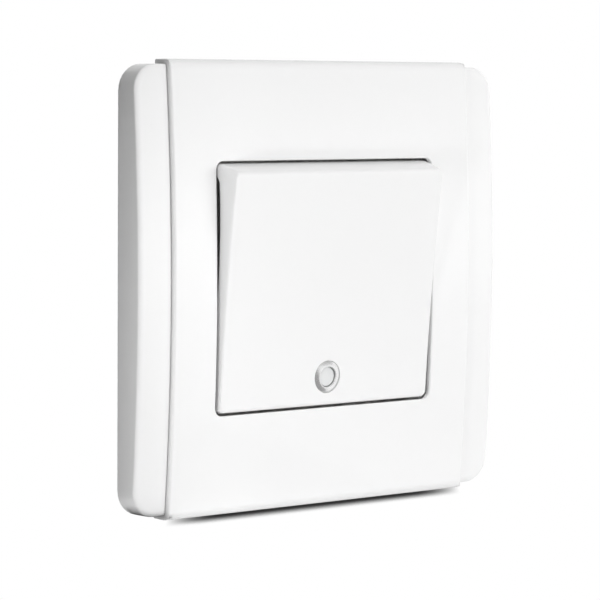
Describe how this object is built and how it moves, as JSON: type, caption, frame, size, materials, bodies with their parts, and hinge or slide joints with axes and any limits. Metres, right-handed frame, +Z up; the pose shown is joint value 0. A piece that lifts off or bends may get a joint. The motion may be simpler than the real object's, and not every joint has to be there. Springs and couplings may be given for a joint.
{
  "type": "wall rocker switch",
  "caption": "Wall rocker switch: crowned clip-on cover between side flanks, tilting rocker with a round indicator, frame for a wall box, and a spring-plunger changeover mechanism behind.",
  "frame": {"origin": "centre of the plate on the wall plane, midway between the two fixing slots", "axes": "+X right seen from the front, +Y into the wall, +Z up; the front faces -Y"},
  "size_m": [0.09, 0.0334, 0.086],
  "materials": {
    "plate_white": "glossy moulded plastic",
    "rocker_white": "satin-gloss moulded plastic",
    "housing_white": "matt heat-resistant moulding",
    "carrier_nylon": "natural nylon",
    "indicator_clear": "clear polished plastic",
    "indicator_frosted": "frosted light pipe",
    "brass": "drawn brass",
    "copper": "rolled copper alloy",
    "silver": "silver contact",
    "zinc_steel": "zinc-plated steel",
    "board_green": "solder mask",
    "lamp_epoxy": "diffused epoxy",
    "resistor_coat": "lacquer",
    "diode_black": "moulded epoxy"
  },
  "bodies": {
    "base": {"base_frame": "plate_white", "left_flank": "plate_white", "right_flank": "plate_white", "mechanism_housing": "housing_white", "pivot_yoke": "housing_white", "mechanism_screws": "zinc_steel", "yoke_screws": "zinc_steel", "fulcrum_pin": "zinc_steel", "common_bracket": "brass", "upper_contact": "brass", "lower_contact": "brass", "fixed_contact_tips": "silver", "common_terminal": "brass", "upper_terminal": "brass", "lower_terminal": "brass", "terminal_screws": "brass", "circuit_board": "board_green", "indicator_lamp": "lamp_epoxy", "lamp_resistor": "resistor_coat", "lamp_diode": "diode_black", "lamp_pins": "brass"},
    "cover": {"front_cover": "plate_white"},
    "rocker": {"rocker": "rocker_white", "rocker_carrier": "carrier_nylon", "indicator_ring": "indicator_clear", "light_pipe": "indicator_frosted", "plunger_spring": "zinc_steel"},
    "plunger": {"plunger": "carrier_nylon"},
    "contact": {"contact_arm": "copper", "moving_contact_tips": "silver"}
  },
  "joints": [
    {"name": "rocker_tilt", "type": "hinge", "parent": "base", "child": "rocker", "pos_m": [0, -0.002, 0], "axis": [1, 0, 0], "range_deg": [-11.5, 0]},
    {"name": "plunger_slide", "type": "slide", "parent": "rocker", "child": "plunger", "axis": [0, -0.995, -0.1002], "range_m": [0, 0.0012], "stiffness_N_per_m": 800, "deforming": ["plunger_spring"]},
    {"name": "contact_flip", "type": "hinge", "parent": "base", "child": "contact", "pos_m": [0, 0.012, 0], "axis": [1, 0, 0], "range_deg": [0, 10]},
    {"name": "cover_unclip", "type": "slide", "parent": "base", "child": "cover", "axis": [0, -1, 0], "range_m": [0, 0.018]}
  ],
  "couplings": [
    {"joint": "contact_flip", "follows": "rocker_tilt", "ratio": -0.86957}
  ]
}
